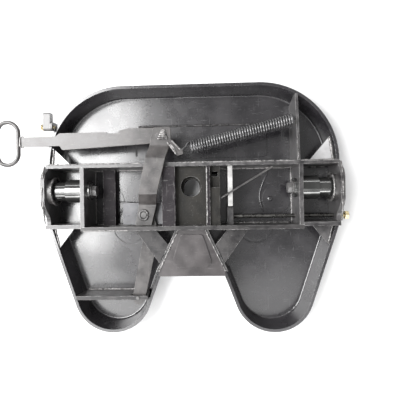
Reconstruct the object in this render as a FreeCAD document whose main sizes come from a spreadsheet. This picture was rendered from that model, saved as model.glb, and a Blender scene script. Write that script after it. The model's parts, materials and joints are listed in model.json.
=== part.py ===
import FreeCAD, Part
import math
import os
from types import SimpleNamespace

import Sketcher

# The top plate of a semi-trailer coupling (a fifth wheel), lying on its bearing face with its
# ribbed side up. Millimetres. Z = 0 is the bearing face and +Z points at the ribbed side.
# +Y points at the coupling's front edge, +X at the side with the adjusting bolt.
# The origin is the kingpin's centre on the bearing face.

SIZES = {
    # pressed pan: the outline is that of the skirt's rim
    "plate_thick": 9,
    "skirt_height": 78,
    "skirt_lean": 9.5,
    "bend_radius": 14,
    "half_width": 458.5,
    "front_edge": 322,
    "shoulder_radius": 245,
    "side_end": 114,
    "side_radius": 90,
    "leg_point_x": 258,
    "leg_point_y": 700.5,
    "leg_radius": 124,
    "crotch_x": 92,
    "crotch_y": 255,
    "crotch_radius": 20,
    "bead_depth": 3,
    # throat and kingpin
    "slot_radius": 37,
    "slot_end": 115,
    "throat_half": 98,
    "throat_end": 262,
    "neck_radius": 25.5,
    # box of ribs across the middle
    "rib_thick": 12,
    "rib_top": 121,
    "front_rib_top": 112,
    "front_rib_y": 62,
    "rear_rib_y": 120,
    "pocket_rib_y": 112,
    "inner_plate_x": 325,
    "ear_x": 446,
    "ear_thick": 12.5,
    "ear_shoulder": 84,
    "ear_top": 125,
    # pivot pins
    "pin_radius": 30,
    "pin_y": 8,
    "pin_z": 75,
    # lock
    "chamber_half": 47,
    "lock_bottom": 36,
    "lock_thick": 30,
    "lock_left": 220,
    "lock_right": 62,
    "lock_rear": 117,
    "cover_z": 88,
    # release lever, handle and spring
    "pivot_x": 170,
    "pivot_y": 342,
    "pivot_radius": 5,
    "tail_z": 70,
    "tail_thick": 10,
    "strap_low": 82,
    "strap_thick": 10,
    "strap_high": 123,
    "strap_end": 90.5,
    "link_x": 148,
    "link_y": 86,
    "link_radius": 9,
    "handle_x": 99,
    "handle_y": 157,
    "handle_radius": 8,
    "bar_z": 79,
    "bar_thick": 10,
    "ring_bar": 6.5,
    "spring_x": -3.5,
    "spring_y": 119.5,
    "spring_z": 95,
    "spring_radius": 20.5,
    "spring_wire": 5.8,
    "spring_length": 327,
    "spring_tilt": 14,
    "lever_hook": 24,
    "rib_hook": 5,
    # adjusting bolt
    "bolt_y": 96,
    "bolt_z": 51,
    "bolt_radius": 6,
}

RUNNING = 0.05
CLEAR = 0.4

doc = FreeCAD.newDocument("fifth_wheel_top_plate")
sheet = doc.addObject("Spreadsheet::Sheet", "Sizes")


class Dim:
    """A length that carries its value and the sheet expression that gives it."""

    def __init__(self, value, text=None):
        self.value = float(value)
        self.text = text or f"({self.value!r})"

    def __neg__(self):
        return Dim(-self.value, f"(-{self.text})")

    def __add__(self, other):
        other = as_dim(other)
        return Dim(self.value + other.value, f"({self.text} + {other.text})")

    def __sub__(self, other):
        other = as_dim(other)
        return Dim(self.value - other.value, f"({self.text} - {other.text})")

    def __mul__(self, other):
        other = as_dim(other)
        return Dim(self.value * other.value, f"({self.text} * {other.text})")

    def __truediv__(self, other):
        other = as_dim(other)
        return Dim(self.value / other.value, f"({self.text} / {other.text})")

    def __radd__(self, other):
        return as_dim(other) + self

    def __rsub__(self, other):
        return as_dim(other) - self

    def __rmul__(self, other):
        return as_dim(other) * self


def as_dim(value):
    return value if isinstance(value, Dim) else Dim(value)


def fill_sheet():
    """One row per driving dimension: its name, and its value under that alias."""
    for row, (name, value) in enumerate(SIZES.items(), start=1):
        sheet.set(f"A{row}", name)
        sheet.set(f"B{row}", str(value))
        sheet.setAlias(f"B{row}", name)
    doc.recompute()
    return SimpleNamespace(**{name: Dim(value, f"Sizes.{name}") for name, value in SIZES.items()})


size = fill_sheet()


def bind(thing, path, length):
    thing.setExpression(path, as_dim(length).text)


# ---- sketches ----


def place_point(sketch, geometry, end, u, v):
    """Ties one point of the sketch to the origin by its two coordinates."""
    for kind, length in (("DistanceX", as_dim(u)), ("DistanceY", as_dim(v))):
        index = sketch.addConstraint(
            Sketcher.Constraint(kind, -1, 1, geometry, end, length.value or 1.0)
        )
        bind(sketch, f"Constraints[{index}]", length)


def corner_arc(before, corner, after, radius):
    """Start, end and centre of the arc that rounds a corner, and whether it turns left."""
    to_before = (before - corner).normalize()
    to_after = (after - corner).normalize()
    half_angle = to_before.getAngle(to_after) / 2
    reach = radius / math.tan(half_angle)
    bisector = (to_before + to_after).normalize()
    centre = corner + bisector * (radius / math.sin(half_angle))
    turns_left = (corner - before).cross(after - corner).z > 0
    return corner + to_before * reach, corner + to_after * reach, centre, turns_left


def add_outline(sketch, corners):
    """A closed outline of (u, v) corners, and (u, v, radius) where a corner is rounded."""
    points = [
        FreeCAD.Vector(as_dim(corner[0]).value, as_dim(corner[1]).value, 0) for corner in corners
    ]
    radii = [as_dim(corner[2]) if len(corner) > 2 else None for corner in corners]
    count = len(corners)
    arcs = [
        corner_arc(points[i - 1], points[i], points[(i + 1) % count], radii[i].value)
        if radii[i]
        else (points[i], points[i], None, True)
        for i in range(count)
    ]
    lines = [
        sketch.addGeometry(Part.LineSegment(arcs[i][1], arcs[(i + 1) % count][0]), False)
        for i in range(count)
    ]
    for i in range(count):
        before, after = lines[i - 1], lines[i]
        if radii[i] is None:
            sketch.addConstraint(Sketcher.Constraint("Coincident", before, 2, after, 1))
            place_point(sketch, after, 1, corners[i][0], corners[i][1])
            continue
        start, end, centre, turns_left = arcs[i]
        first, last = (start, end) if turns_left else (end, start)
        first_angle = math.atan2(first.y - centre.y, first.x - centre.x)
        last_angle = math.atan2(last.y - centre.y, last.x - centre.x)
        if last_angle < first_angle:
            last_angle += 2 * math.pi
        circle = Part.Circle(centre, FreeCAD.Vector(0, 0, 1), radii[i].value)
        arc = sketch.addGeometry(Part.ArcOfCircle(circle, first_angle, last_angle), False)
        near, far = (1, 2) if turns_left else (2, 1)
        sketch.addConstraint(Sketcher.Constraint("Tangent", before, 2, arc, near))
        sketch.addConstraint(Sketcher.Constraint("Tangent", after, 1, arc, far))
        radius = sketch.addConstraint(Sketcher.Constraint("Radius", arc, radii[i].value))
        bind(sketch, f"Constraints[{radius}]", radii[i])
        corner = sketch.addGeometry(Part.Point(points[i]), True)
        sketch.addConstraint(Sketcher.Constraint("PointOnObject", corner, 1, before))
        sketch.addConstraint(Sketcher.Constraint("PointOnObject", corner, 1, after))
        place_point(sketch, corner, 1, corners[i][0], corners[i][1])


def add_circle(sketch, u, v, radius):
    centre = FreeCAD.Vector(as_dim(u).value, as_dim(v).value, 0)
    circle = Part.Circle(centre, FreeCAD.Vector(0, 0, 1), as_dim(radius).value)
    index = sketch.addGeometry(circle, False)
    limit = sketch.addConstraint(Sketcher.Constraint("Radius", index, as_dim(radius).value))
    bind(sketch, f"Constraints[{limit}]", radius)
    place_point(sketch, index, 3, u, v)


def add_sketch(body, name, plane, outlines=(), circles=(), offset=0):
    """A sketch on one of the body's own origin planes, moved along its normal by offset."""
    sketch = body.newObject("Sketcher::SketchObject", name)
    support = [item for item in body.Origin.OriginFeatures if item.Role == plane][0]
    sketch.AttachmentSupport = (support, "")
    sketch.MapMode = "FlatFace"
    bind(sketch, "AttachmentOffset.Base.z", offset)
    for corners in outlines:
        add_outline(sketch, corners)
    for u, v, radius in circles:
        add_circle(sketch, u, v, radius)
    return sketch


# ---- kinds of sub-part ----

# the axis that each sketch plane's pad runs along, and whether that is against its normal
PAD_AXIS = {"XY_Plane": ("z", False), "XZ_Plane": ("y", True), "YZ_Plane": ("x", False)}


def plate(label, plane, corners, low, high, openings=(), bores=()):
    """A flat piece: an outline with openings, padded from low to high across its plane."""
    axis, against_normal = PAD_AXIS[plane]
    body = doc.addObject("PartDesign::Body", label)
    sketch = add_sketch(body, label + "_sketch", plane, [corners, *openings], bores)
    pad = body.newObject("PartDesign::Pad", label + "_pad")
    pad.Profile = sketch
    pad.Reversed = against_normal
    bind(pad, "Length", as_dim(high) - low)
    bind(body, f"Placement.Base.{axis}", low)
    return body


def set_box(block, x, y, z):
    for side, axis, (low, high) in (("Length", "x", x), ("Width", "y", y), ("Height", "z", z)):
        bind(block, side, as_dim(high) - low)
        bind(block, f"Placement.Base.{axis}", low)
    return block


def box(label, x, y, z):
    """A rectangular block between the given pairs of X, Y and Z."""
    return set_box(doc.addObject("Part::Box", label), x, y, z)


def box_cut(body, label, x, y, z):
    """Takes a rectangular block out of a body."""
    return set_box(body.newObject("PartDesign::SubtractiveBox", label), x, y, z)


TURNS = {
    "x": FreeCAD.Rotation(FreeCAD.Vector(0, 1, 0), 90),
    "y": FreeCAD.Rotation(FreeCAD.Vector(1, 0, 0), -90),
    "z": FreeCAD.Rotation(),
}


def set_round(thing, axis, start, length):
    """Lays a round or six-sided piece along an axis, from its start point."""
    thing.Placement.Rotation = TURNS[axis]
    bind(thing, "Height", length)
    for name, value in zip("xyz", start):
        bind(thing, f"Placement.Base.{name}", value)
    return thing


def rod(label, axis, radius, start, length):
    piece = doc.addObject("Part::Cylinder", label)
    bind(piece, "Radius", radius)
    return set_round(piece, axis, start, length)


def hexagon(label, axis, across_flats, start, length):
    """A bolt head or a nut."""
    piece = doc.addObject("Part::Prism", label)
    piece.Polygon = 6
    bind(piece, "Circumradius", as_dim(across_flats) / math.sqrt(3))
    return set_round(piece, axis, start, length)


def cut(label, base, tool):
    piece = doc.addObject("Part::Cut", label)
    piece.Base = base
    piece.Tool = tool
    return piece


def fuse(label, *pieces):
    piece = doc.addObject("Part::MultiFuse", label)
    piece.Shapes = list(pieces)
    return piece


def tube(label, axis, outer, inner, start, length):
    shell = rod(label + "_outside", axis, outer, start, length)
    hollow = rod(label + "_inside", axis, inner, start, length)
    return cut(label, shell, hollow)


def mirrored(corners, side):
    """The same outline on the right (side 1) or, mirrored in X, on the left (side -1)."""
    if side > 0:
        return corners
    return [(-as_dim(corner[0]), *corner[1:]) for corner in reversed(corners)]


def span(low, high, side):
    """A pair of X values on the right (side 1) or mirrored to the left (side -1)."""
    return (as_dim(low), as_dim(high)) if side > 0 else (-as_dim(high), -as_dim(low))


SIDES = (("left", -1), ("right", 1))


# ---- pressed pan ----


def top_plate():
    """The pressed pan: bearing plate, leaning skirt, kingpin slot, throat and stiffening beads."""
    right = [
        (size.half_width, size.front_edge, size.shoulder_radius),
        (size.half_width, -size.side_end, size.side_radius),
        (size.leg_point_x, -size.leg_point_y, size.leg_radius),
        (size.crotch_x, -size.crotch_y, size.crotch_radius),
    ]
    body = plate("top_plate", "XY_Plane", right + mirrored(right, -1), 0, size.skirt_height)
    doc.recompute()
    blank = body.Tip
    height = size.skirt_height.value
    walls = [
        f"Face{number}"
        for number, face in enumerate(blank.Shape.Faces, start=1)
        if face.BoundBox.ZLength > height / 2
    ]
    rim = [
        f"Face{number}"
        for number, face in enumerate(blank.Shape.Faces, start=1)
        if face.BoundBox.ZMin > height / 2
    ]
    lean = body.newObject("PartDesign::Draft", "skirt_lean")
    lean.Base = (blank, walls)
    lean.NeutralPlane = (blank, rim)
    lean.Reversed = True
    bind(lean, "Angle", size.skirt_lean)
    doc.recompute()
    bend = body.newObject("PartDesign::Fillet", "skirt_bend")
    bend.Base = (
        lean,
        [
            f"Edge{number}"
            for number, edge in enumerate(lean.Shape.Edges, start=1)
            if edge.BoundBox.ZMax < size.plate_thick.value / 2
        ],
    )
    bind(bend, "Radius", size.bend_radius)
    doc.recompute()
    shell = body.newObject("PartDesign::Thickness", "pan_shell")
    shell.Base = (
        bend,
        [
            f"Face{number}"
            for number, face in enumerate(bend.Shape.Faces, start=1)
            if face.BoundBox.ZMin > height - 1
        ],
    )
    shell.Reversed = True
    bind(shell, "Value", size.plate_thick)
    doc.recompute()

    above = size.skirt_height + 10
    box_y = (-size.pocket_rib_y - size.rib_thick, size.front_rib_y + size.rib_thick)
    for name, side in SIDES:
        outside = span(size.ear_x, size.ear_x + 30, side)
        inside = span(size.ear_x - 22, size.ear_x, side)
        box_cut(body, f"ear_recess_{name}", outside, box_y, (-1, above))
        box_cut(body, f"wall_recess_{name}", inside, box_y, (size.plate_thick, above))
    crotch_half = size.crotch_x + 26
    crotch = (-crotch_half, crotch_half), (-size.throat_end, -size.throat_end + 50)
    box_cut(body, "crotch_recess", *crotch, (size.plate_thick, above))

    half_throat = [
        (size.slot_radius, 0),
        (size.slot_radius, -size.slot_end),
        (size.throat_half, -size.throat_end),
        (size.throat_half, -size.throat_end - 18),
    ]
    throat = add_sketch(
        body, "throat_sketch", "XY_Plane", [half_throat + mirrored(half_throat, -1)]
    )
    opening = body.newObject("PartDesign::Pocket", "throat")
    opening.Profile = throat
    opening.Reversed = True
    bind(opening, "Length", above)
    seat = body.newObject("PartDesign::SubtractiveCylinder", "kingpin_slot_end")
    bind(seat, "Radius", size.slot_radius)
    bind(seat, "Height", size.plate_thick)

    rings = [
        (x, y, radius)
        for x, y, mean in ((206, -125, 57), (276, -42, 50))
        for radius in (mean - 4, mean + 4)
    ]
    for name, side in SIDES:
        circles = [(side * x, y, radius) for x, y, radius in rings]
        for number, pair in enumerate((circles[:2], circles[2:]), start=1):
            sketch = add_sketch(
                body, f"bead_{name}_{number}_sketch", "XY_Plane", (), pair, size.plate_thick
            )
            bead = body.newObject("PartDesign::Pocket", f"bead_{name}_{number}")
            bead.Profile = sketch
            bind(bead, "Length", size.bead_depth)
    doc.recompute()
    return body


# ---- ribs, ears and corner pieces ----


def ribs():
    """The upright plates that make the box across the middle, and its end pockets."""
    floor = size.plate_thick
    top = size.rib_top
    front = (size.front_rib_y, size.front_rib_y + size.rib_thick)
    inner = size.inner_plate_x
    outer = inner + size.rib_thick
    rear_face = size.rear_rib_y + size.rib_thick
    yield box("front_rib", (-size.ear_x, size.ear_x), front, (floor, size.front_rib_top))

    lever_window = [
        (-268, size.tail_z - 2, 5),
        (-98, size.tail_z - 2, 5),
        (-98, size.strap_low + size.strap_thick + 2, 5),
        (-268, size.strap_low + size.strap_thick + 2, 5),
    ]
    throat_top = size.cover_z - 1
    rear = [
        (-outer, floor),
        (-40, floor),
        (-40, throat_top, 3),
        (40, throat_top, 3),
        (40, floor),
        (outer, floor),
        (outer, top),
        (-outer, top),
    ]
    yield plate("rear_rib", "XZ_Plane", rear, -rear_face, -size.rear_rib_y, [lever_window])

    pocket_y = (-size.pocket_rib_y - size.rib_thick, -size.pocket_rib_y)
    wall = [
        (-size.rear_rib_y, floor),
        (size.front_rib_y, floor),
        (size.front_rib_y, top),
        (-size.rear_rib_y, top),
    ]
    ear = [
        (-size.pocket_rib_y - size.rib_thick, 4),
        (front[1], 4),
        (front[1], size.ear_shoulder),
        (-size.pin_y + 45, size.ear_top, 40),
        (-size.pin_y - 45, size.ear_top, 40),
        (-size.pin_y - 84, size.ear_shoulder, 30),
        (-size.pocket_rib_y - size.rib_thick, size.ear_shoulder),
    ]
    pin_bore = (-size.pin_y, size.pin_z, size.pin_radius + CLEAR)
    bolt_bore = (-size.bolt_y, size.bolt_z, size.bolt_radius + CLEAR)
    for name, side in SIDES:
        yield box(f"pocket_rib_{name}", span(outer, size.ear_x, side), pocket_y, (floor, top))
        bolt_bores = [bolt_bore] if side > 0 else []
        yield plate(
            f"inner_plate_{name}",
            "YZ_Plane",
            wall,
            *span(inner, outer, side),
            bores=[pin_bore, *bolt_bores],
        )
        yield plate(
            f"ear_plate_{name}",
            "YZ_Plane",
            ear,
            *span(size.ear_x, size.ear_x + size.ear_thick, side),
            bores=bolt_bores,
        )


def gussets():
    """Four three-cornered plates between the box's corners and the skirt."""
    low = size.skirt_height - 12
    high = size.skirt_height - 4
    front = size.front_rib_y + size.rib_thick
    rear = -size.pocket_rib_y - size.rib_thick
    front_corners = {
        "left": [(382, front), (441, front), (440, 130)],
        "right": [(366, front), (441, front), (432, 150)],
    }
    rear_corners = [(374, rear), (422, rear - 62), (437, rear)]
    for name, side in SIDES:
        front_outline = mirrored(front_corners[name], side)
        yield plate(f"gusset_front_{name}", "XY_Plane", front_outline, low, high)
        yield plate(f"gusset_rear_{name}", "XY_Plane", mirrored(rear_corners, side), low, high)


def throat_parts():
    """The throat's side walls, its domed guard plate and the slanting braces beside it."""
    floor = size.plate_thick
    wall_top = size.cover_z + 8
    rear = -size.rear_rib_y - size.rib_thick
    tail = -size.throat_end
    near = size.slot_radius + 4
    far = size.throat_half + 4
    thick = 9
    wall = [(near, rear), (near + thick, rear), (far + thick, tail), (far, tail)]
    brace = [(112, rear), (73.5, rear - 48), (101, rear - 104), (176, rear)]
    for name, side in SIDES:
        yield plate(f"throat_wall_{name}", "XY_Plane", mirrored(wall, side), floor, wall_top)
        yield plate(
            f"brace_{name}", "XY_Plane", mirrored(brace, side), size.cover_z - 4, size.cover_z + 5
        )
    half = [(near, rear), (far, tail), (far, tail - 14)]
    guard = plate(
        "throat_plate", "XY_Plane", half + mirrored(half, -1), size.cover_z, size.cover_z + 8
    )
    dome_half = [(34, rear - 16, 12), (66, tail + 14, 20)]
    dome = add_sketch(
        guard, "dome_sketch", "XY_Plane", [dome_half + mirrored(dome_half, -1)], (), 8
    )
    raised = guard.newObject("PartDesign::Pad", "dome")
    raised.Profile = dome
    raised.Length = 5
    yield guard


def pan_parts():
    """The ribs and strips that stand on the pan outside the box."""
    floor = size.plate_thick
    front = size.front_rib_y + size.rib_thick
    spring_rib = [
        (front, floor),
        (262, floor),
        (278, size.skirt_height - 8),
        (278, size.skirt_height + 20),
        (front, size.rib_top - 3),
    ]
    yield plate("spring_rib", "YZ_Plane", spring_rib, 322, 330)
    doubler = [(-186, 98, 10), (246, 98, 10), (246, 206, 10), (-186, 206, 10)]
    yield plate("doubler_plate", "XY_Plane", doubler, floor, floor + 4)

    window_top = size.tail_z + size.tail_thick + 4
    window = [
        (-size.pivot_x - 27, size.tail_z - 4),
        (-size.pivot_x + 27, size.tail_z - 4),
        (-size.pivot_x + 27, window_top),
        (-size.pivot_x - 27, window_top),
    ]
    cross_rib = [
        (-355, floor),
        (-150, floor),
        (-139, 60),
        (-139, window_top + 12),
        (-364, window_top + 12),
        (-364, 60),
    ]
    half_rib = size.rib_thick / 2
    leg_rib = plate(
        "leg_rib",
        "XZ_Plane",
        cross_rib,
        -size.pivot_y - half_rib,
        -size.pivot_y + half_rib,
        [window],
    )
    pin_hole = leg_rib.newObject("PartDesign::SubtractiveCylinder", "lever_pin_hole")
    bind(pin_hole, "Radius", size.pivot_radius)
    bind(pin_hole, "Height", 60)
    bind(pin_hole, "Placement.Base.x", -size.pivot_x)
    bind(pin_hole, "Placement.Base.y", half_rib)
    bind(pin_hole, "Placement.Base.z", size.tail_z - 20)
    yield leg_rib
    yield rod(
        "lever_pivot_pin",
        "z",
        size.pivot_radius,
        (-size.pivot_x, -size.pivot_y, size.tail_z - 20),
        49,
    )


# ---- pivot pins ----


def pivot_pins():
    """The two pins that the mounting brackets hold, with their sleeves, collars and bolts."""
    inner = size.inner_plate_x
    wall = inner + size.rib_thick
    y = -size.pin_y
    z = size.pin_z
    bore = size.pin_radius + CLEAR / 2
    for name, side in SIDES:
        pin_x = span(inner - 9, size.ear_x, side)
        yield rod(f"pivot_pin_{name}", "x", size.pin_radius, (pin_x[0], y, z), pin_x[1] - pin_x[0])
        sleeve_x = span(wall, wall + 52, side)
        yield tube(f"pin_sleeve_{name}", "x", 36.5, bore, (sleeve_x[0], y, z), 52)
        collar_x = span(size.ear_x - 14, size.ear_x, side)
        yield tube(f"pin_collar_{name}", "x", 40, bore, (collar_x[0], y, z), 14)
        washer_x = span(inner - 13, inner - 9, side)
        yield rod(f"pin_washer_{name}", "x", 22, (washer_x[0], y, z), 4)
        head_x = span(inner - 26, inner - 13, side)
        yield hexagon(f"pin_bolt_{name}", "x", 30, (head_x[0], y, z), 13)


# ---- lock ----


def lock_parts():
    """The chamber round the kingpin, the jaw, and the bar that slides behind the kingpin."""
    floor = size.plate_thick
    chamber = size.chamber_half
    front = size.front_rib_y
    rear = -size.rear_rib_y
    low = size.lock_bottom - CLEAR
    high = size.lock_bottom + size.lock_thick + CLEAR
    lock_front = -size.neck_radius + 1

    def upright(label, x, top):
        """A wall with a window that the lock bar slides through, open at the rear rib."""
        corners = [
            (rear, floor),
            (front, floor),
            (front, top),
            (rear, top),
            (rear, high),
            (lock_front, high),
            (lock_front, low),
            (rear, low),
        ]
        return plate(label, "YZ_Plane", corners, *x)

    yield upright("lock_wall_left", (-chamber - 40, -chamber), 118)
    yield upright("lock_wall_right", (chamber, chamber + 12), 118)
    stop_x = (chamber + 12, chamber + 42)
    stop = plate(
        "lock_stop_block",
        "YZ_Plane",
        [(rear, floor), (-4, floor), (-4, 110), (rear, 110)],
        *stop_x,
    )
    box_cut(stop, "lock_socket", (-1, size.lock_right - stop_x[0] + 2), (rear, lock_front), (low, high))
    yield stop
    yield plate(
        "spacer_block",
        "XY_Plane",
        [(stop_x[0], -4), (stop_x[1], -4), (stop_x[1], front), (stop_x[0], front)],
        floor,
        98,
        [[(63, 29), (83, 29), (83, 45), (63, 45)]],
    )

    jaw = plate(
        "kingpin_jaw",
        "XY_Plane",
        [(-chamber, front), (-chamber, -22), (chamber, -22), (chamber, front)],
        size.lock_bottom,
        size.lock_bottom + size.lock_thick,
    )
    seat = jaw.newObject("PartDesign::SubtractiveCylinder", "neck_seat")
    bind(seat, "Radius", size.neck_radius)
    bind(seat, "Height", size.lock_thick)
    mouth = (-size.neck_radius, size.neck_radius), (-24, 0)
    box_cut(jaw, "neck_mouth", *mouth, (0, size.lock_thick))
    yield jaw
    yield plate(
        "lock_cover",
        "XY_Plane",
        [(-chamber, rear), (chamber, rear), (chamber, front), (-chamber, front)],
        size.cover_z,
        size.cover_z + 7,
        bores=[(0, 0, 31)],
    )

    lock_corners = [
        (-size.lock_left, -size.lock_rear, 4),
        (size.lock_right, -size.lock_rear, 4),
        (size.lock_right, -size.neck_radius - 0.5, 12),
        (-52, -size.neck_radius - 0.5, 4),
        (-66, -48, 8),
        (-size.lock_left, -48, 4),
    ]
    half_slot = size.link_radius + 1.2
    slot_low = -size.link_y - size.link_radius - 13
    slot_high = -size.link_y + size.link_radius + 2
    pin_slot = [
        (-size.link_x - half_slot, slot_low, 4),
        (-size.link_x + half_slot, slot_low, 4),
        (-size.link_x + half_slot, slot_high, 4),
        (-size.link_x - half_slot, slot_high, 4),
    ]
    yield plate(
        "lock_bar",
        "XY_Plane",
        lock_corners,
        size.lock_bottom,
        size.lock_bottom + size.lock_thick,
        [pin_slot],
    )
    guide_top = size.lock_bottom - CLEAR
    yield box("lock_guide", (-292, -252), (rear, front), (floor, guide_top))


# ---- release lever and handle ----


def lever_parts():
    """The lever: a tail on the leg rib's pin, and a strap that steps over the front rib."""
    tail_top = size.tail_z + size.tail_thick
    tail = plate(
        "lever_tail",
        "XY_Plane",
        [
            (-size.pivot_x - 10, -size.pivot_y - 24, 6),
            (-size.pivot_x + 10, -size.pivot_y - 24, 6),
            (-size.pivot_x + 20, -size.pivot_y - 4, 10),
            (-105, -150, 20),
            (-122, -66, 8),
            (-168, -66, 8),
            (-152, -150, 20),
            (-size.pivot_x - 20, -size.pivot_y - 4, 10),
        ],
        size.tail_z,
        tail_top,
        bores=[
            (-size.pivot_x, -size.pivot_y, size.pivot_radius + RUNNING),
            (-size.link_x, -size.link_y, size.link_radius),
        ],
    )
    yield tail

    low, high, end = size.strap_low, size.strap_high, size.strap_end
    thick = size.strap_thick
    side_view = [
        (-118, low),
        (-50, low, 14),
        (-14, high, 14),
        (84, high, 14),
        (122, end, 14),
        (184, end),
        (184, end + thick),
        (126, end + thick, 14),
        (88, high + thick, 14),
        (-20, high + thick, 14),
        (-56, low + thick, 14),
        (-118, low + thick),
    ]
    profile = doc.addObject("PartDesign::Body", "strap_side")
    pad = profile.newObject("PartDesign::Pad", "strap_side_pad")
    pad.Profile = add_sketch(profile, "strap_side_sketch", "YZ_Plane", [side_view])
    pad.Length = 150
    bind(profile, "Placement.Base.x", -210)
    plan_view = [(-176, -120), (-125, -120), (-53, 170, 16), (-60, 184, 14), (-114, 184, 6)]
    bores = [(-size.link_x, -size.link_y, size.link_radius)]
    bores.append((-size.handle_x, size.handle_y, size.handle_radius))
    outline = plate("strap_plan", "XY_Plane", plan_view, 60, 150, bores=bores)
    strap = doc.addObject("Part::Common", "lever_strap")
    strap.Base = profile
    strap.Tool = outline
    yield strap

    tab = [(-60, 146, 3), (-74, 138, 3), (-62, 127, 4), (-40, 94, 4), (-21, 100, 4), (-24, 112, 4)]
    yield plate("spring_tab", "XY_Plane", tab, end + thick, end + thick + 6)

    yield rod(
        "link_pin",
        "z",
        size.link_radius,
        (-size.link_x, -size.link_y, size.lock_bottom + 2),
        low + thick + 3 - size.lock_bottom - 2,
    )
    yield rod(
        "handle_pin",
        "z",
        size.handle_radius,
        (-size.handle_x, size.handle_y, size.bar_z - 3),
        end + thick + 3 - size.bar_z + 3,
    )


def handle_parts():
    """The flat pull bar with its catch notch, and the grip ring at its outer end."""
    bar_top = size.bar_z + size.bar_thick
    bar = [
        (-540, 135),
        (-412, 135, 6),
        (-404, 122, 6),
        (-136, 136, 10),
        (-82, 140, 20),
        (-64, 158, 14),
        (-76, 184, 18),
        (-192, 186, 14),
        (-222, 179),
        (-226, 171),
        (-258, 171),
        (-262, 175),
        (-412, 175, 8),
        (-426, 165, 8),
        (-540, 165),
    ]
    yield plate(
        "handle_bar",
        "XY_Plane",
        bar,
        size.bar_z,
        bar_top,
        bores=[(-size.handle_x, size.handle_y, size.handle_radius + RUNNING)],
    )

    middle = size.bar_z + size.bar_thick / 2
    body = doc.addObject("PartDesign::Body", "grip_ring")
    path = [(-546.5, 71, 36), (-546.5, 221, 36), (-613, 209, 28), (-613, 83, 28)]
    spine = add_sketch(body, "grip_path", "XY_Plane", [path])
    section = add_sketch(body, "grip_section", "XZ_Plane", (), [(-546.5, 0, size.ring_bar)], -150)
    doc.recompute()
    pipe = body.newObject("PartDesign::AdditivePipe", "grip_pipe")
    pipe.Profile = section
    pipe.Spine = (spine, [f"Edge{n}" for n in range(1, len(spine.Shape.Edges) + 1)])
    bind(body, "Placement.Base.z", middle)
    yield body


# ---- safety latch, spring, adjusting bolt, grease pipe ----


def latch_parts():
    """A small latch that tips over the handle bar, on a bolt through its bracket."""
    axis_y, axis_z = 195, 84
    yield plate(
        "latch_bracket",
        "YZ_Plane",
        [(190, 48, 3), (211, 48, 4), (211, 98, 8), (183, 98, 8), (183, 79), (190, 79)],
        -438.5,
        -431.8,
        bores=[(axis_y, axis_z, 5 + CLEAR)],
    )
    yield plate(
        "safety_latch",
        "YZ_Plane",
        [(183, 74, 6), (240, 72, 5), (240, 95, 5), (183, 96, 8)],
        -461,
        -439,
        bores=[(axis_y, axis_z, 5 + RUNNING)],
    )
    shank = rod("latch_bolt_shank", "x", 5, (-461.5, axis_y, axis_z), 34)
    head = hexagon("latch_bolt_head", "x", 19, (-469.5, axis_y, axis_z), 8)
    yield fuse("latch_bolt", shank, head)


def main_spring():
    """The coil's envelope with its two hooks, from the lever's tab to the spring rib."""
    tilt = FreeCAD.Rotation(FreeCAD.Vector(0, 0, 1), size.spring_tilt.value)
    along = tilt.multVec(FreeCAD.Vector(1, 0, 0))
    start = FreeCAD.Vector(size.spring_x.value, size.spring_y.value, size.spring_z.value)
    length = size.spring_length.value
    outer = size.spring_radius.value
    wire = size.spring_wire.value
    coil = Part.makeCylinder(outer, length, start, along)
    coil = coil.cut(Part.makeCylinder(outer - wire / 2, length, start, along))
    across = tilt.multVec(FreeCAD.Vector(0, 1, 0))
    half_bar = outer - wire / 4
    rib_hook = size.rib_hook.value
    ends = (
        (start + along * wire, -along, size.lever_hook.value + wire),
        (start + along * (length - wire), along, rib_hook + wire),
    )
    hooks = []
    for root, outward, reach in ends:
        hooks.append(Part.makeCylinder(wire / 2, 2 * half_bar, root - across * half_bar, across))
        hooks.append(Part.makeCylinder(wire / 2.5, reach, root, outward))
    anchor = start + along * (length + rib_hook)
    up = FreeCAD.Vector(0, 0, 1)
    hooks.append(Part.makeCylinder(wire / 2, 16, anchor - up * 8, up))
    piece = doc.addObject("Part::Feature", "main_spring")
    piece.Shape = coil.multiFuse(hooks)
    piece.Placement = FreeCAD.Placement()
    yield piece


def adjuster_parts():
    """The long bolt that sets the lock's play, its nut, and the bracket that it screws into."""
    y, z = -size.bolt_y, size.bolt_z
    ear = size.ear_x + size.ear_thick
    shank = rod("bolt_shank", "x", size.bolt_radius, (112, y, z), ear + 22 - 112)
    head = hexagon("bolt_head", "x", 24, (ear + 22, y, z), 11)
    yield fuse("adjusting_bolt", shank, head)
    nut = hexagon("nut_blank", "x", 24, (ear, y, z), 10)
    thread = rod("nut_bore", "x", size.bolt_radius + CLEAR, (ear, y, z), 10)
    yield cut("lock_nut", nut, thread)
    yield plate(
        "bolt_bracket",
        "YZ_Plane",
        [
            (-size.rear_rib_y, size.plate_thick),
            (-62, size.plate_thick),
            (-62, 74, 10),
            (-size.rear_rib_y, 74),
        ],
        112,
        130,
        bores=[(-size.bolt_y, size.bolt_z, size.bolt_radius + RUNNING)],
    )
    yield box("bay_rib", (114, 128), (-62, size.front_rib_y), (size.plate_thick, 97))


def grease_pipe():
    """A thin pipe that carries grease from the front rib to the lock."""
    y_run, x_run = 92, 156
    length = math.hypot(x_run, y_run)
    start = (size.chamber_half + 46, -36, 102)
    pipe = doc.addObject("Part::Cylinder", "grease_pipe")
    pipe.Radius = 3
    pipe.Height = length
    turn = FreeCAD.Rotation(FreeCAD.Vector(0, 0, 1), FreeCAD.Vector(x_run, y_run, 0))
    pipe.Placement.Rotation = turn
    for name, value in zip("xyz", start):
        bind(pipe, f"Placement.Base.{name}", value)
    yield pipe


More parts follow.
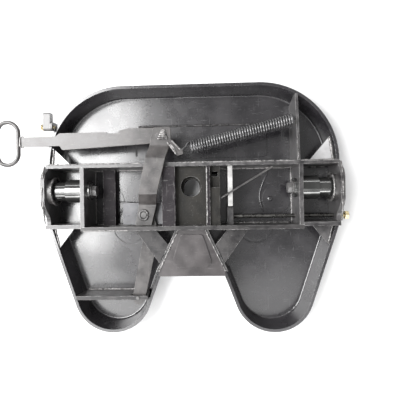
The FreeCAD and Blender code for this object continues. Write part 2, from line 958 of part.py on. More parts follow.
def build():
    parts = [top_plate()]
    for group in (
        ribs,
        gussets,
        throat_parts,
        pan_parts,
        pivot_pins,
        lock_parts,
        lever_parts,
        handle_parts,
        latch_parts,
        main_spring,
        adjuster_parts,
        grease_pipe,
    ):
        parts += list(group())
    doc.recompute()
    return parts


def export(parts):
    """Writes one file per sub-part, once every object has recomputed well."""
    for item in doc.Objects:
        if "Invalid" in item.State or "Error" in item.State:
            raise RuntimeError(f"{item.Label} did not recompute: {item.State}")
    os.makedirs("parts", exist_ok=True)
    for part in parts:
        if part.Shape.isNull() or not part.Shape.isValid():
            raise RuntimeError(f"{part.Label} has no valid shape")
        part.Shape.exportStep(f"parts/{part.Label}.step")


export(build())
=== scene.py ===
"""Looks for the fifth-wheel coupling top plate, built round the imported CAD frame.

Metres, in the row frame: z = 0 is the bearing face, which lies on the floor, +Z the ribbed
side, +Y the coupling's front edge, +X the adjusting bolt. The kingpin centre is the origin.
"""

import json
import math
import random

import bpy
from mathutils import Matrix, Vector


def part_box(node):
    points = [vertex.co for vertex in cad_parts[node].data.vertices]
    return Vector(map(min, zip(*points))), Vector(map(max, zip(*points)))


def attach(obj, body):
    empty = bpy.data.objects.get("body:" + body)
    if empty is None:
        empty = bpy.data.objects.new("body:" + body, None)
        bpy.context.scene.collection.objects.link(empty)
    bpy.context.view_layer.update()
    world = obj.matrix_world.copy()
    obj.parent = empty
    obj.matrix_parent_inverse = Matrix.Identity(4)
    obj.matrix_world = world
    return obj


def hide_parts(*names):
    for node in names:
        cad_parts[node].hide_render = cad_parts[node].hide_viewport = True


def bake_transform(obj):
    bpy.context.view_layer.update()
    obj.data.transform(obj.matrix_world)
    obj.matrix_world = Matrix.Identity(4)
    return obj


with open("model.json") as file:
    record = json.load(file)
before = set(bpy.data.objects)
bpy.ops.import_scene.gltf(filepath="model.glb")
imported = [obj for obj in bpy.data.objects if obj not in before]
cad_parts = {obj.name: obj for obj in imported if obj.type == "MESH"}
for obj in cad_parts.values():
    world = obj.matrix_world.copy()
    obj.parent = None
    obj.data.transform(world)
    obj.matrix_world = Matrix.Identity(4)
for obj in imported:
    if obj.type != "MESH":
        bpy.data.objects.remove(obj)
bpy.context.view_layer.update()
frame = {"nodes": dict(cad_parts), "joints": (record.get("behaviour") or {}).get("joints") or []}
MM = 0.001
# How far the pulled coil's pitch is evened out. At 0 its cuts stay close to one straight line.
PITCH_EVENNESS = 0.3
# Colours that several finishes share: metal bared at a worn edge, and the zinc plating.
BARE_STEEL = (0.6, 0.59, 0.58)
ZINC_DARK = (0.36, 0.29, 0.14)
ZINC_LIGHT = (0.66, 0.58, 0.4)


# ---------------------------------------------------------------- shader graphs
class Graph:
    """A material's node tree, with short calls for the nodes that the paints and metals share."""

    def __init__(self, name):
        self.material = bpy.data.materials.new(name)
        self.material.use_nodes = True
        self.tree = self.material.node_tree
        self.tree.nodes.clear()
        self.shader = self.add("ShaderNodeBsdfPrincipled")
        out = self.add("ShaderNodeOutputMaterial")
        self.link(self.shader.outputs["BSDF"], out.inputs["Surface"])
        self.where = self.add("ShaderNodeTexCoord").outputs["Object"]

    def add(self, kind):
        """A new node of this kind."""
        return self.tree.nodes.new(kind)

    def link(self, source, target):
        """Joins an output socket to an input socket."""
        self.tree.links.new(source, target)

    def stretched(self, scale):
        """The object's own coordinates, scaled by a different amount along each axis."""
        mapping = self.add("ShaderNodeMapping")
        mapping.inputs["Scale"].default_value = scale
        self.link(self.where, mapping.inputs["Vector"])
        return mapping.outputs["Vector"]

    def noise(self, scale, detail=4.0, vector=None):
        """Cloudy values about 0.5, on the object's own coordinates or on the given ones."""
        node = self.add("ShaderNodeTexNoise")
        node.inputs["Scale"].default_value = scale
        node.inputs["Detail"].default_value = detail
        node.inputs["Roughness"].default_value = 0.55
        self.link(vector or self.where, node.inputs["Vector"])
        return node.outputs["Fac"]

    def band(self, value, low, high, to_low=0.0, to_high=1.0):
        """A value moved from low..high to to_low..to_high, and held at both ends."""
        node = self.add("ShaderNodeMapRange")
        node.inputs["From Min"].default_value = low
        node.inputs["From Max"].default_value = high
        node.inputs["To Min"].default_value = to_low
        node.inputs["To Max"].default_value = to_high
        self.link(value, node.inputs["Value"])
        return node.outputs["Result"]

    def math(self, operation, a, b):
        """One sum of two sockets or numbers, held to 0..1."""
        node = self.add("ShaderNodeMath")
        node.operation = operation
        node.use_clamp = True
        for socket, value in zip(node.inputs, (a, b)):
            if isinstance(value, (int, float)):
                socket.default_value = value
            else:
                self.link(value, socket)
        return node.outputs["Value"]

    def mix(self, factor, a, b):
        """Colour a where the factor is 0, and b where it is 1."""
        node = self.add("ShaderNodeMix")
        node.data_type = "RGBA"
        self.link(factor, node.inputs["Factor"])
        for name, value in (("A", a), ("B", b)):
            socket = [s for s in node.inputs if s.name == name and s.type == "RGBA"][0]
            if isinstance(value, tuple):
                socket.default_value = (*value, 1.0)
            else:
                self.link(value, socket)
        return [s for s in node.outputs if s.type == "RGBA"][0]

    def rounded(self, radius):
        """The surface normal as if each edge had this radius."""
        node = self.add("ShaderNodeBevel")
        node.samples = 4
        node.inputs["Radius"].default_value = radius
        return node.outputs["Normal"]

    def edges(self, radius):
        """1 along the edges, and 0 on the flats."""
        least_turn = 0.02
        full_turn = 0.25
        dot = self.add("ShaderNodeVectorMath")
        dot.operation = "DOT_PRODUCT"
        self.link(self.rounded(radius), dot.inputs[0])
        self.link(self.add("ShaderNodeNewGeometry").outputs["Normal"], dot.inputs[1])
        return self.band(self.math("SUBTRACT", 1.0, dot.outputs["Value"]), least_turn, full_turn)

    def bump(self, height, strength, distance, normal):
        """The normal pushed about by a height, on top of the given normal."""
        node = self.add("ShaderNodeBump")
        node.inputs["Strength"].default_value = strength
        node.inputs["Distance"].default_value = distance
        self.link(height, node.inputs["Height"])
        self.link(normal, node.inputs["Normal"])
        return node.outputs["Normal"]


def finish_material(name, dark, light, rough, metal=0.0, coat=0.0, specular=0.5, blotch=14.0,
                    worn=None, wear=0.5, edge=1.5, grain=(1.0, 1.0, 1.0), grain_scale=260.0,
                    grain_bump=0.15, dent_bump=0.1, scratch=0.0, speck=0.0):
    """A paint or metal: blotchy tone, worn edges, scratches, specks, grain and dents."""
    g = Graph(name)
    tone = g.noise(blotch, 5.0)
    fine = g.noise(grain_scale, 3.0, vector=g.stretched(grain))
    colour = g.mix(g.band(tone, 0.32, 0.68), dark, light)
    colour = g.mix(g.band(fine, 0.62, 0.85, 0.0, 0.35), colour, light)
    shine = g.band(tone, 0.3, 0.7, rough[0], rough[1])
    if scratch:
        lines = g.noise(38.0, 2.0, vector=g.stretched((0.9, 9.0, 1.0)))
        cross = g.noise(30.0, 2.0, vector=g.stretched((8.0, 0.7, 1.0)))
        marks = g.math("MAXIMUM", g.band(lines, 0.66, 0.7), g.band(cross, 0.68, 0.72))
        colour = g.mix(g.math("MULTIPLY", marks, scratch), colour, worn or light)
    if speck:
        dots = g.band(g.noise(520.0, 1.0), 0.7, 0.78)
        colour = g.mix(g.math("MULTIPLY", dots, speck), colour, worn or light)
    g.shader.inputs["Metallic"].default_value = metal
    if worn:
        rubbed = g.math("MULTIPLY", g.edges(edge * MM), g.band(g.noise(70.0, 4.0), 0.4, 0.62))
        rubbed = g.math("MULTIPLY", rubbed, wear)
        colour = g.mix(rubbed, colour, worn)
        if metal < 0.5:
            g.link(rubbed, g.shader.inputs["Metallic"])
    g.link(colour, g.shader.inputs["Base Color"])
    g.link(shine, g.shader.inputs["Roughness"])
    g.shader.inputs["Specular IOR Level"].default_value = specular
    g.shader.inputs["Coat Weight"].default_value = coat
    g.shader.inputs["Coat Roughness"].default_value = 0.12
    soft = g.rounded(1.2 * MM)
    dented = g.bump(g.noise(26.0, 2.0), dent_bump, 0.0015, soft)
    g.link(g.bump(fine, grain_bump, 0.0004, dented), g.shader.inputs["Normal"])
    return g.material


PAN_PAINT = finish_material(
    "pan_paint", (0.012, 0.011, 0.013), (0.03, 0.028, 0.031), (0.2, 0.34), coat=0.7,
    specular=0.9, worn=(0.42, 0.42, 0.43), wear=0.55, edge=1.2, grain_bump=0.06,
    dent_bump=0.12, scratch=0.1, speck=0.12)
RIB_PAINT = finish_material(
    "rib_paint", (0.016, 0.015, 0.016), (0.085, 0.081, 0.082), (0.3, 0.52), coat=0.3,
    specular=0.7, blotch=46.0, worn=BARE_STEEL, wear=0.95, edge=2.6,
    grain_bump=0.3, dent_bump=0.3, scratch=0.06, speck=0.3)
INNER_PAINT = finish_material(
    "inner_paint", (0.01, 0.008, 0.01), (0.026, 0.022, 0.025), (0.5, 0.7),
    specular=0.2, blotch=28.0, worn=(0.62, 0.61, 0.6), wear=0.95, edge=2.6,
    grain_bump=0.25, dent_bump=0.3, scratch=0.12, speck=0.2)
# A darker copy of the rib paint for the rear rib, braces and leg rib: painted shade on the same worn black
# paint.
RIB_PAINT_PAINTED_SHADE = finish_material(
    "rib_paint_painted_shade", (0.01, 0.009, 0.01), (0.045, 0.042, 0.042), (0.34, 0.55), coat=0.15,
    specular=0.5, blotch=36.0, worn=BARE_STEEL, wear=0.95, edge=2.2,
    grain_bump=0.3, dent_bump=0.25, scratch=0.05, speck=0.25)
# A lighter, warmer copy of the pan's black paint for the throat plate: a painted highlight.
THROAT_PAINTED_HIGHLIGHT = finish_material(
    "throat_painted_highlight", (0.022, 0.0185, 0.019), (0.058, 0.05, 0.051), (0.28, 0.42), coat=0.5,
    specular=0.9, blotch=16.0, worn=(0.42, 0.4, 0.4), wear=0.6, edge=1.4,
    grain_bump=0.1, dent_bump=0.12, scratch=0.08, speck=0.15)
# Light grey base colour on the glossy black corner gussets: a painted reflection, their white glint.
GLOSS_WITH_PAINTED_REFLECTION = finish_material(
    "gloss_with_painted_reflection", (0.38, 0.376, 0.38), (0.6, 0.595, 0.6), (0.16, 0.28), metal=0.35, coat=1.0,
    specular=1.0, blotch=20.0, worn=BARE_STEEL, wear=0.8, edge=2.0,
    grain_bump=0.1, dent_bump=0.1, speck=0.1)
LEVER_PAINT = finish_material(
    "lever_paint", (0.024, 0.021, 0.021), (0.075, 0.069, 0.067), (0.3, 0.48), coat=0.2,
    specular=0.7, blotch=30.0, worn=(0.62, 0.6, 0.56), wear=0.7, edge=1.4,
    grain_bump=0.25, dent_bump=0.2, scratch=0.08, speck=0.2)
TURNED_STEEL = finish_material(
    "turned_steel", (0.07, 0.071, 0.069), (0.15, 0.15, 0.147), (0.1, 0.19), metal=0.85,
    coat=1.0, blotch=18.0, worn=(0.85, 0.85, 0.86), wear=0.5, edge=1.2, grain=(9.0, 0.6, 0.6),
    grain_scale=150.0, grain_bump=0.25, dent_bump=0.05)
DARK_STEEL = finish_material(
    "dark_steel", (0.03, 0.028, 0.028), (0.09, 0.086, 0.084), (0.25, 0.45), coat=0.3,
    specular=0.8, worn=(0.5, 0.49, 0.48), wear=0.8, grain_bump=0.2, dent_bump=0.15,
    speck=0.2)
FORGED_STEEL = finish_material(
    "forged_steel", (0.006, 0.0055, 0.0045), (0.02, 0.018, 0.015), (0.45, 0.68), metal=0.2,
    specular=0.3, blotch=34.0, worn=(0.6, 0.6, 0.59), wear=0.8, edge=2.0, grain_bump=0.5,
    dent_bump=0.4, speck=0.25)
MILLED_STEEL = finish_material(
    "milled_steel", (0.06, 0.06, 0.063), (0.16, 0.16, 0.165), (0.22, 0.42), metal=0.9,
    blotch=12.0, worn=(0.8, 0.8, 0.8), wear=0.6, edge=1.5, grain=(1.0, 8.0, 1.0),
    grain_scale=120.0, grain_bump=0.3, dent_bump=0.1)
YELLOW_ZINC = finish_material(
    "yellow_zinc", ZINC_DARK, ZINC_LIGHT, (0.22, 0.4), metal=0.95,
    blotch=90.0, worn=(0.75, 0.72, 0.62), wear=0.6, edge=0.8, grain_bump=0.2)
SPRING_WIRE = finish_material(
    "spring_wire", (0.05, 0.05, 0.052), (0.13, 0.128, 0.13), (0.16, 0.3), metal=0.5, coat=0.8,
    specular=0.9, blotch=60.0, worn=(0.4, 0.4, 0.4), wear=0.4, edge=0.8, grain_bump=0.15)
WELD_METAL = finish_material(
    "weld_metal", (0.06, 0.058, 0.058), (0.34, 0.33, 0.325), (0.22, 0.5), metal=0.75,
    blotch=120.0, worn=(0.7, 0.69, 0.67), wear=0.8, edge=1.0, grain_scale=500.0,
    grain_bump=0.6, dent_bump=0.3, speck=0.7)
# Pale grey base colour on the black bay rib: a painted reflection, its bright top. The edges are worn.
BAY_RIB_PAINTED_REFLECTION = finish_material(
    "bay_rib_painted_reflection", (0.2, 0.198, 0.195), (0.5, 0.495, 0.485), (0.3, 0.5), metal=0.2,
    coat=0.2, blotch=30.0, worn=(0.7, 0.69, 0.68), wear=0.8, edge=2.0, speck=0.2)


def bolt_material():
    """The adjusting bolt: darker steel inside the box, yellow zinc on its outer end."""
    zinc_starts = 0.452
    zinc_is_full = 0.462
    g = Graph("adjusting_bolt_finish")
    split = g.add("ShaderNodeSeparateXYZ")
    g.link(g.where, split.inputs["Vector"])
    outside = g.band(split.outputs["X"], zinc_starts, zinc_is_full)
    tone = g.noise(90.0, 4.0)
    darker_inside = g.mix(g.band(tone, 0.35, 0.65), (0.08, 0.078, 0.075), (0.2, 0.195, 0.185))
    zinc = g.mix(g.band(tone, 0.35, 0.65), ZINC_DARK, ZINC_LIGHT)
    g.link(g.mix(outside, darker_inside, zinc), g.shader.inputs["Base Color"])
    g.link(g.band(tone, 0.3, 0.7, 0.2, 0.4), g.shader.inputs["Roughness"])
    g.shader.inputs["Metallic"].default_value = 0.9
    g.link(g.bump(g.noise(400.0, 3.0), 0.15, 0.0003, g.rounded(0.8 * MM)),
           g.shader.inputs["Normal"])
    return g.material


ADJUSTER_FINISH = bolt_material()
MATERIALS = {
    ADJUSTER_FINISH: ("adjusting_bolt",),
    BAY_RIB_PAINTED_REFLECTION: ("bay_rib",),
    PAN_PAINT: ("top_plate", "doubler_plate"),
    THROAT_PAINTED_HIGHLIGHT: ("throat_plate",),
    RIB_PAINT_PAINTED_SHADE: ("brace_left", "brace_right", "leg_rib", "rear_rib"),
    RIB_PAINT: ("bolt_bracket", "ear_plate_left", "ear_plate_right", "front_rib",
                "inner_plate_left", "inner_plate_right", "pocket_rib_left", "pocket_rib_right",
                "spring_rib", "gusset_rear_right", "throat_wall_left", "throat_wall_right",
                "latch_bracket"),
    GLOSS_WITH_PAINTED_REFLECTION: ("gusset_front_left", "gusset_front_right", "gusset_rear_left"),
    INNER_PAINT: ("lock_guide", "lock_wall_left", "lock_wall_right"),
    LEVER_PAINT: ("lever_tail", "lever_strap", "spring_tab", "handle_bar", "grip_ring"),
    TURNED_STEEL: ("pivot_pin_left", "pivot_pin_right", "pin_sleeve_left", "pin_sleeve_right"),
    DARK_STEEL: ("pin_collar_left", "pin_collar_right", "pin_washer_left", "pin_washer_right",
                 "pin_bolt_left", "pin_bolt_right", "safety_latch", "grease_pipe",
                 "lever_pivot_pin", "link_pin", "handle_pin"),
    FORGED_STEEL: ("kingpin_jaw", "lock_cover", "lock_stop_block", "spacer_block"),
    MILLED_STEEL: ("lock_bar",),
    YELLOW_ZINC: ("latch_bolt", "lock_nut"),
    SPRING_WIRE: ("main_spring",),
}

for material, names in MATERIALS.items():
    for name in names:
        for material_slot in frame["nodes"][name].material_slots:
            material_slot.material = material


# ---------------------------------------------------------------- mesh helpers
def new_piece(name, vertices, faces, material, body):
    """A smooth mesh piece with the given material. It rides on a body, if one is given."""
    mesh = bpy.data.meshes.new(name)
    mesh.from_pydata([tuple(v) for v in vertices], [], faces)
    mesh.validate()
    mesh.update()
    mesh.polygons.foreach_set("use_smooth", [True] * len(mesh.polygons))
    mesh.materials.append(material)
    piece = bpy.data.objects.new(name, mesh)
    bpy.context.scene.collection.objects.link(piece)
    if body:
        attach(piece, body)
    return piece


def sweep_rings(points, radii, sides):
    """Rings of vertices round a path, with the frame carried along it so that it doesn't twist."""
    vertices = []
    count = len(points)
    normal = None
    for i, point in enumerate(points):
        ahead = points[min(i + 1, count - 1)] - points[max(i - 1, 0)]
        tangent = ahead.normalized()
        if normal is None:
            guess = Vector((0, 0, 1)) if abs(tangent.z) < 0.9 else Vector((1, 0, 0))
            normal = (guess - tangent * guess.dot(tangent)).normalized()
        else:
            normal = (normal - tangent * normal.dot(tangent)).normalized()
        side = tangent.cross(normal)
        for k in range(sides):
            angle = 2 * math.pi * k / sides
            offset = normal * math.cos(angle) + side * math.sin(angle)
            vertices.append(point + offset * radii[i])
    return vertices


def tube_faces(rings, sides):
    """Side faces between neighbouring rings, and a cap on each end."""
    faces = []
    for i in range(rings - 1):
        for k in range(sides):
            after = (k + 1) % sides
            faces.append((i * sides + k, i * sides + after,
                          (i + 1) * sides + after, (i + 1) * sides + k))
    faces.append(tuple(reversed(range(sides))))
    faces.append(tuple(range((rings - 1) * sides, rings * sides)))
    return faces


def tube(name, points, radii, sides, material, body):
    """A closed tube along a path, with its own radius at each point."""
    vertices = sweep_rings(points, radii, sides)
    faces = tube_faces(len(points), sides)
    return new_piece(name, vertices, faces, material, body)


def resampled(corners, step):
    """Points a step apart along a run of straight lines."""
    points = []
    for start, end in zip(corners, corners[1:]):
        pieces = max(1, round((end - start).length / step))
        points += [start.lerp(end, i / pieces) for i in range(pieces)]
    return points + [corners[-1]]


# A bead's shape: its step and wander in millimetres, the count of its sides and of the points
# in one swell, and the rest as shares of its radius.
BEAD_STEP = 1.6
BEAD_WANDER = 0.45
BEAD_SIDES = 8
SWELL_LOW = 0.8
SWELL_HIGH = 1.2
SWELL_EVERY = 9
RIPPLE_LOW = 0.86
RIPPLE_RISE = 0.2
TIP = 0.45
TIP_RISE = 0.28


def weld(name, corners, radius, body="frame", seed=0, finish=WELD_METAL):
    """A hand-laid weld bead: overlapping ripples of uneven width that wander a little."""
    draw = random.Random(seed + 101)
    path = resampled([Vector(c) * MM for c in corners], BEAD_STEP * MM)
    wander = [Vector([draw.uniform(-BEAD_WANDER, BEAD_WANDER) for _ in range(3)]) * MM for _ in path]
    points = [p + w for p, w in zip(path, wander)]
    radii = []
    swell = 1.0
    for i in range(len(points)):
        if i % SWELL_EVERY == 0:
            swell = draw.uniform(SWELL_LOW, SWELL_HIGH)
        ripple = RIPPLE_LOW + RIPPLE_RISE * abs(math.sin(i * math.pi / 3.0 + 0.4 * swell))
        taper = min(1.0, TIP + TIP_RISE * min(i, len(points) - 1 - i))
        radii.append(radius * MM * swell * ripple * taper)
    tube(f"weld_{name}", points, radii, BEAD_SIDES, finish, body)


# ---------------------------------------------------------------- the main spring
def lever_share(s, rib_end, lever_end):
    """How much of the lever's turn a point s of the way along the spring takes.

    One share puts the point on the straight line between the pulled spring's two ends. It is
    moved a little towards an even ease, so that the turns don't bunch up.
    """
    joint = next(j for j in frame["joints"] if j["name"] == "lever_swing")
    swing = math.radians(joint["range_deg"][1])
    pivot = Vector(joint["pos_m"]).to_2d()
    fixed = rib_end.to_2d() - pivot
    moved = lever_end.to_2d() - pivot
    moved.rotate(Matrix.Rotation(swing, 2))
    chord = (moved - fixed).normalized()
    normal = Vector((-chord.y, chord.x))
    if normal.dot(fixed) < 0:
        normal.negate()
    point = rib_end.lerp(lever_end, s).to_2d() - pivot
    reach = math.acos(min(1.0, normal.dot(fixed) / point.length))
    turned = math.atan2(normal.y, normal.x) - reach - math.atan2(point.y, point.x)
    straight = max(0.0, min(1.0, turned / swing))
    even = s * s * (3 - 2 * s)
    return straight + PITCH_EVENNESS * (even - straight)


def blend_length(piece):
    """Bakes one length of coil's placement into its mesh."""

    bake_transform(piece)


def main_spring():
    """The wound coil and its two hooks, from the spring rib to the lever's tab."""
    tilt = math.radians(14.0)
    length = 327 * MM
    wire = 3.2 * MM
    mean = 20.5 * MM - wire
    turns = 40
    per_turn = 20
    sides = 8
    hook_lead = 26 * MM
    tail_lead = 9.6 * MM
    along = Vector((math.cos(tilt), math.sin(tilt), 0))
    across = Vector((-math.sin(tilt), math.cos(tilt), 0))
    up = Vector((0, 0, 1))
    lever_end = Vector((-3.5, 119.5, 95)) * MM
    rib_end = lever_end + along * length

    def coil_point(t):
        """The point t of the way along the wound wire."""
        angle = 2 * math.pi * turns * t
        return (rib_end - along * (wire + (length - 2 * wire) * t)
                + across * mean * math.cos(angle) + up * mean * math.sin(angle))

    def hook(end, lead, steps):
        """Each step is a share of the lead, a share of the coil's radius, and a rise in mm."""
        return [end + along * lead * out + across * mean * off + up * rise * MM
                for out, off, rise in steps]

    rib_hook = hook(rib_end, tail_lead, [(1.0, 0.0, 0.0), (0.4, 0.35, 0.0), (0.1, 0.8, 0.0)])
    lever_hook = hook(lever_end, -hook_lead,
                      [(0.1, 0.8, 0.0), (0.35, 0.35, 0.0), (0.75, 0.1, 1.2), (1.0, 0.0, 4.0)])
    count = turns * per_turn
    coil = [coil_point(i / count) for i in range(count + 1)]
    # The coil is cut after these turns. Each cut gets a share of the lever's turn: none at the rib's end,
    # and all of it at the last length's end.
    knots = [0, 8, 16, 22, 28, 32, 34, 37, 40]
    places = [(wire + (length - 2 * wire) * turn / turns) / length for turn in knots]
    shares = [lever_share(place, rib_end, lever_end) for place in places[:-2]]
    # The last knot but one is 58% of the way from its neighbour's share to the whole turn.
    shares += [0.42 * shares[-1] + 0.58, 1.0]
    shares[0] = 0.0
    for k, (first, last) in enumerate(zip(knots, knots[1:])):
        points = coil[first * per_turn:last * per_turn + 1]
        if first == 0:
            points = rib_hook + points
        if last == turns:
            points = points + lever_hook
        piece = tube(f"spring_coil_{k}", points, [wire] * len(points), sides, SPRING_WIRE, None)
        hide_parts("main_spring")
        blend_length(piece)


main_spring()


# ---------------------------------------------------------------- weld beads
def box_mm(node):
    """A CAD node's lowest and highest corners at rest, in millimetres."""
    low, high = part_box(node)
    return [v / MM for v in low], [v / MM for v in high]


# Places that several beads share, in millimetres: the height of a rib's foot on the pan, each
# side's sign and name, the two cross ribs' boxes, and their faces that look away from each other.
FOOT_Z = 11
SIDES = ((-1, "left"), (1, "right"))
FRONT_LOW, FRONT_HIGH = box_mm("front_rib")
REAR_LOW, REAR_HIGH = box_mm("rear_rib")
FRONT_Y = FRONT_HIGH[1]
REAR_Y = REAR_LOW[1]


def mirrored(points, side):
    """Points of the right-hand side, in millimetres, or the same ones turned over to the left."""
    return [(x * side, y, z) for x, y, z in points]


def gusset_welds(side, name):
    """The beads round a side's front and rear corner gussets."""
    gusset_low, gusset_high = box_mm(f"gusset_front_{name}")
    top_z = gusset_high[2]
    inner_x = gusset_high[0] if side < 0 else gusset_low[0]
    edge_x = 441 * side
    corner_x = (436 if side < 0 else 431) * side
    weld(f"gusset_front_{name}", [(inner_x + 3 * side, FRONT_Y + 1, top_z),
                                  (edge_x, FRONT_Y + 1, top_z)], 3.4, seed=3 + side)
    weld(f"gusset_front_{name}_side", [(edge_x, FRONT_Y + 2, top_z),
                                       (corner_x, gusset_high[1] - 3, top_z)], 4.4, seed=5 + side)
    rear_foot = mirrored([(376, -125, top_z), (435, -125, top_z)], side)
    rear_side = mirrored([(436, -126, top_z), (422, -183, top_z)], side)
    weld(f"gusset_rear_{name}", rear_foot, 3.2, seed=9 + side)
    weld(f"gusset_rear_{name}_side", rear_side, 3.2, seed=12 + side)


def box_side_welds(side, name):
    """The beads of a side's inner plate, pin collar, brace and throat wall."""
    corner_foot_z = 14
    inner_low, inner_high = box_mm(f"inner_plate_{name}")
    for label, x in (("inner", inner_low[0]), ("outer", inner_high[0])):
        front_y = FRONT_LOW[1]
        weld(f"plate_foot_{name}_{label}", [(x, front_y - 2, FOOT_Z), (x, REAR_HIGH[1] + 2, FOOT_Z)],
             3.4, seed=20 + side + int(abs(x)))
        weld(f"plate_front_{name}_{label}", [(x, front_y, corner_foot_z), (x, front_y, FRONT_HIGH[2] - 3)],
             3.0, seed=30 + side + int(abs(x)))
    collar = ring_path((430 * side, -8, 75), 41.5, 40)
    brace = mirrored([(72, REAR_Y - 1, 92), (174, REAR_Y - 1, 92)], side)
    throat_wall = mirrored([(42, REAR_Y - 2, 95), (103, -262, 95)], side)
    weld(f"pin_collar_{name}", collar, 3.4, seed=40 + side)
    weld(f"brace_{name}", brace, 3.0, seed=44 + side)
    weld(f"throat_wall_{name}", throat_wall, 3.2, seed=48 + side)


def rib_foot_welds():
    """The long beads at the feet of both cross ribs, with a gap across the middle bay."""
    bay = 64
    for label, y in (("front", FRONT_Y + 1), ("front_inner", FRONT_LOW[1] - 1),
                     ("rear", REAR_Y - 1), ("rear_inner", REAR_HIGH[1] + 1)):
        half = 320 if "rear" in label else 435
        weld(f"rib_foot_{label}_left", [(-half, y, FOOT_Z), (-bay, y, FOOT_Z)], 3.6,
             seed=60 + len(label))
        weld(f"rib_foot_{label}_right", [(bay, y, FOOT_Z), (half, y, FOOT_Z)], 3.6,
             seed=70 + len(label))


def crest_highlight_beads():
    """The thin pale beads along the tops of the ribs, walls and side plates: worn cut edges, with a
    painted highlight along the crests.
    """
    sunk = 0.6
    front_z = FRONT_HIGH[2] - sunk
    front_y = FRONT_Y - 1
    weld("front_crest_right", [(-44, front_y, front_z), (322, front_y, front_z)], 2.4, seed=84)
    weld("front_crest_far_right", [(332, front_y, front_z), (438, front_y, front_z)], 2.6, seed=85)
    weld("front_crest_left", [(-438, front_y, front_z), (-150, front_y, front_z)], 2.2, seed=86)
    rear_z = REAR_HIGH[2] - sunk
    weld("rear_crest_left", [(-330, REAR_Y + 1, rear_z), (-190, REAR_Y + 1, rear_z)], 2.2, seed=87)
    weld("wall_right_crest", [(50, -112, 118), (50, 58, 118)], 2.4, seed=88)
    weld("spring_rib_crest", [(326, 78, 117), (326, 110, 112)], 2.0, seed=89)
    ear = [(452, -110, 108), (452, -60, 120), (452, -8, 125), (452, 40, 120), (452, 70, 108)]
    for side, name in SIDES:
        weld(f"ear_crest_{name}", mirrored(ear, side), 2.6, seed=97 + side)


def frame_welds():
    """The beads that join the ribs, plates and gussets to each other."""
    for side, name in SIDES:
        gusset_welds(side, name)
        box_side_welds(side, name)
    rib_foot_welds()
    crest_highlight_beads()
    leg_low, leg_high = box_mm("leg_rib")
    leg_y = leg_high[1] + 1
    inset = 8
    weld("leg_rib_foot", [(leg_low[0] + inset, leg_y, FOOT_Z), (leg_high[0] - inset, leg_y, FOOT_Z)],
         3.4, seed=80)


def ring_path(centre, radius, count):
    """A circle about the X axis, in millimetres."""
    x, y, z = centre
    turn = 2 * math.pi / count
    return [(x, y + radius * math.cos(i * turn), z + radius * math.sin(i * turn))
            for i in range(count + 1)]


def lever_welds():
    """The rough beads on the lever: at its tab, at its pins, and where its parts join."""
    tab_top = box_mm("spring_tab")[1][2]
    weld("spring_tab", [(-70, 137, tab_top), (-59, 122, tab_top), (-42, 98, tab_top)], 3.2, "lever", 90)
    weld("spring_tab_outer", [(-57, 143, tab_top - 1), (-42, 126, tab_top - 1), (-28, 111, tab_top)],
         3.0, "lever", 91)
    weld("spring_tab_top", [(-62, 130, tab_top + 1), (-50, 120, tab_top + 1), (-44, 104, tab_top + 1)],
         2.6, "lever", 98)
    strap_end = 100.5
    first_y = 149
    row_gap = 6
    for row in range(5):
        y = first_y + row_gap * row
        weld(f"strap_end_{row}", [(-102 + 3 * row, y, strap_end + 0.5), (-80, y + 2, strap_end + 1.2),
                                  (-68 - 2 * row, y, strap_end + 0.4)], 3.8, "lever", 110 + row)
    pin_low, pin_high = box_mm("link_pin")
    x = (pin_low[0] + pin_high[0]) / 2
    y = (pin_low[1] + pin_high[1]) / 2
    half_wide = 13
    half_deep = 15
    ring = [(x + half_wide * math.cos(a * math.pi / 12),
             y + half_deep * math.sin(a * math.pi / 12), pin_high[2] - 2) for a in range(25)]
    weld("link_pin", ring, 4.0, "lever", 92, DARK_STEEL)


def doubler_shadow_beads():
    """Raised beads along the doubler plate's front and left edges, in the darker copy of the rib paint: a
    painted shadow line along the plate's step.
    """
    low, high = box_mm("doubler_plate")
    inset = 8
    edge_z = high[2] - 2
    front_y = high[1] - 1
    left_x = low[0] + 1
    weld("doubler_front", [(low[0] + inset, front_y, edge_z), (high[0] - inset, front_y, edge_z)],
         4.2, seed=120, finish=RIB_PAINT_PAINTED_SHADE)
    weld("doubler_left", [(left_x, low[1] + inset, edge_z), (left_x, high[1] - inset, edge_z)],
         3.6, seed=121, finish=RIB_PAINT_PAINTED_SHADE)


def pressed_ridges():
    """The soft ridges and the dimple pressed into the pan's floor between the ribs."""
    floor_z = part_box("doubler_plate")[0][2] / MM
    sunk = 0.4
    ridge_radius = 3.4
    ridge_sides = 12
    dimple_sides = 24
    ridges = {
        "right": [(255, 60), (242, 32), (228, 2), (220, -27), (223, -56), (233, -84)],
        "left_corner": [(-257, -24), (-250, -42), (-236, -47), (-180, -47)],
        "left_slant": [(-228, -52), (-238, -78), (-250, -103)],
    }
    for label, corners in ridges.items():
        route = bpy.data.curves.new(f"route_{label}", "CURVE")
        spline = route.splines.new("NURBS")
        spline.points.add(len(corners) - 1)
        for point, (x, y) in zip(spline.points, corners):
            point.co = (x * MM, y * MM, (floor_z - sunk) * MM, 1)
        spline.order_u = 3
        spline.use_endpoint_u = True
        spline.resolution_u = 12
        holder = bpy.data.objects.new(f"route_{label}", route)
        line = bpy.data.meshes.new_from_object(holder)
        points = [v.co.copy() for v in line.vertices]
        bpy.data.objects.remove(holder)
        last = len(points) - 1
        radii = [ridge_radius * MM * min(1.0, 0.35 + 0.12 * min(i, last - i))
                 for i in range(len(points))]
        tube(f"ridge_{label}", points, radii, ridge_sides, PAN_PAINT, "frame")
    rise = [(0.0, 9.0), (1.2, 8.2), (2.2, 6.4), (2.8, 3.6), (3.0, 1.0)]
    tube("dimple", [Vector((255, -41, floor_z + z)) * MM for z, _ in rise],
         [r * MM for _, r in rise], dimple_sides, PAN_PAINT, "frame")


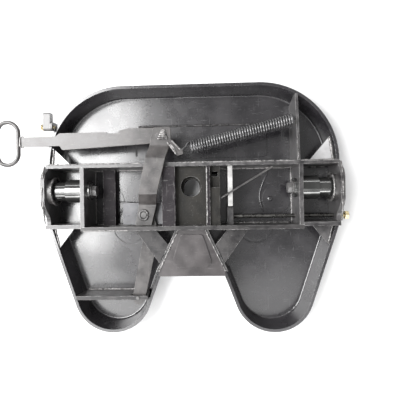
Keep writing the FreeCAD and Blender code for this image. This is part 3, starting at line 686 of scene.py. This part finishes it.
def bolt_thread():
    """The thread's ridge on the adjusting bolt, where it stands out of the side plate."""
    low, high = box_mm("adjusting_bolt")
    centre_y = (low[1] + high[1]) / 2
    centre_z = (low[2] + high[2]) / 2
    first = box_mm("lock_nut")[1][0] + 1.0
    last = high[0] - 8.0
    pitch = 2.2
    radius = 6.0
    ridge = 0.7
    ridge_sides = 6
    per_turn = 16
    steps = int((last - first) / pitch * per_turn)
    points = []
    for i in range(steps + 1):
        angle = 2 * math.pi * i / per_turn
        points.append(Vector((first + pitch * i / per_turn, centre_y + radius * math.cos(angle),
                              centre_z + radius * math.sin(angle))) * MM)
    tube("bolt_thread", points, [ridge * MM] * len(points), ridge_sides, ADJUSTER_FINISH,
         "adjuster")


def grip_welds():
    """The bead where the grip ring meets the bar."""
    bar_low, bar_high = box_mm("handle_bar")
    x = bar_low[0] + 2
    rear_y = 134
    front_y = 166
    foot_z = 80
    head_z = 88
    weld("grip_low", [(x, rear_y, bar_high[2]), (x, front_y, bar_high[2])], 3.4, "handle", 95)
    weld("grip_edge_rear", [(x, rear_y - 1, foot_z), (x + 10, rear_y, head_z)], 2.8, "handle", 96)
    weld("grip_edge_front", [(x, front_y + 1, foot_z), (x + 10, front_y, head_z)], 2.8, "handle", 97)


frame_welds()
lever_welds()
doubler_shadow_beads()
pressed_ridges()
bolt_thread()
grip_welds()


# ---------------------------------------------------------------- studio and camera
def area_light(name, place, aim, width, height, power):
    """A rectangular lamp at a place, turned to its aim: metres and watts."""
    data = bpy.data.lights.new(name, "AREA")
    data.shape = "RECTANGLE"
    data.size = width
    data.size_y = height
    data.energy = power
    lamp = bpy.data.objects.new(name, data)
    lamp.location = place
    lamp.rotation_euler = (Vector(aim) - Vector(place)).to_track_quat("-Z", "Y").to_euler()
    bpy.context.scene.collection.objects.link(lamp)


def floor():
    """The pale floor, just under the bearing face so that the two faces don't coincide."""
    half = 6.0
    drop = 0.5 * MM
    mesh = bpy.data.meshes.new("floor")
    corners = [(-half, -half, 0), (half, -half, 0), (half, half, 0), (-half, half, 0)]
    mesh.from_pydata([Vector(c) - Vector((0, 0, drop)) for c in corners], [], [(0, 1, 2, 3)])
    piece = bpy.data.objects.new("floor", mesh)
    g = Graph("pale_floor")
    g.link(g.mix(g.noise(3.0), (0.88, 0.88, 0.885), (0.91, 0.91, 0.91)),
           g.shader.inputs["Base Color"])
    g.shader.inputs["Roughness"].default_value = 0.8
    mesh.materials.append(g.material)
    bpy.context.scene.collection.objects.link(piece)


def studio():
    """A pale surround, one large softbox from the left, and four strips from front and rear."""
    world = bpy.data.worlds.new("studio")
    world.use_nodes = True
    world.node_tree.nodes["Background"].inputs["Color"].default_value = (1, 1, 1, 1)
    world.node_tree.nodes["Background"].inputs["Strength"].default_value = 0.36
    scene = bpy.context.scene
    scene.world = world
    scene.view_settings.view_transform = "Standard"
    area_light("softbox_left", (-2.05, 0.5, 2.3), (-0.1, 0.0, 0), 1.9, 2.8, 200)
    area_light("strip_rear_left", (-0.95, -1.3, 2.4), (-0.2, -0.3, 0), 1.5, 0.9, 17)
    area_light("strip_rear_right", (0.6, -1.25, 2.4), (0.2, -0.3, 0), 1.1, 0.9, 5)
    area_light("strip_low_rear", (0.0, -2.2, 1.6), (0, 0, 0.05), 4.4, 0.7, 60)
    area_light("strip_low_front", (0.0, 2.3, 1.5), (0, -0.3, 0), 4.0, 0.3, 16)


def camera():
    """The photograph's view: nearly straight down, tipped and turned by a degree or two."""
    data = bpy.data.cameras.new("camera")
    data.sensor_width = 36.0
    data.lens = 31.5
    eye = bpy.data.objects.new("camera", data)
    eye.location = (0.06818, -0.04423, 1.17193)
    eye.rotation_euler = (0.0015, 0.0378, -0.0160)
    bpy.context.scene.collection.objects.link(eye)
    bpy.context.scene.camera = eye


floor()
studio()
camera()
